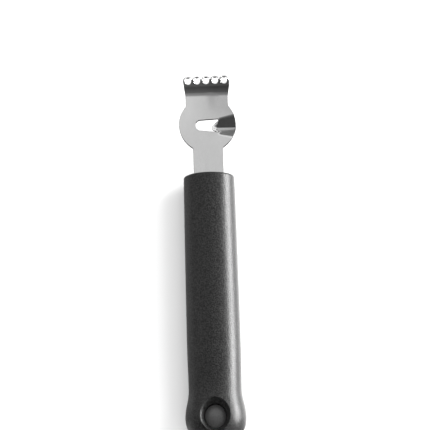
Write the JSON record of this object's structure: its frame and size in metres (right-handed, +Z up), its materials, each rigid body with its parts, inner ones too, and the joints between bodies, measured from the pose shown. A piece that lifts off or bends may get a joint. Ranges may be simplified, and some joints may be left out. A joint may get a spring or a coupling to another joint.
{
  "type": "citrus zester and channel knife",
  "caption": "Hand tool with a stamped steel zesting tip and channel cutter on a flat stem, set in a round-ended oval plastic handle with a plugged hanging hole.",
  "frame": {"origin": "middle of the flat under the handle, on the surface that the tool lies on", "axes": "+Y along the handle towards the zesting tip, +Z up out of the face that the tip curls towards, +X to the side with the channel cutter"},
  "size_m": [0.0242, 0.1528, 0.018],
  "materials": {
    "blade_steel": "stainless sheet, fine satin polish, ground bright at the cutting edges",
    "core_plastic": "plain moulded black plastic, hidden inside the grip",
    "grip_plastic": "black moulded plastic with a fine spark-eroded grain",
    "plug_plastic": "black moulded plastic, smoother than the grip"
  },
  "bodies": {
    "root": {"blade": "blade_steel", "handle_core": "core_plastic", "handle_grip": "grip_plastic", "plug_front": "plug_plastic", "plug_back": "plug_plastic"}
  },
  "joints": []
}
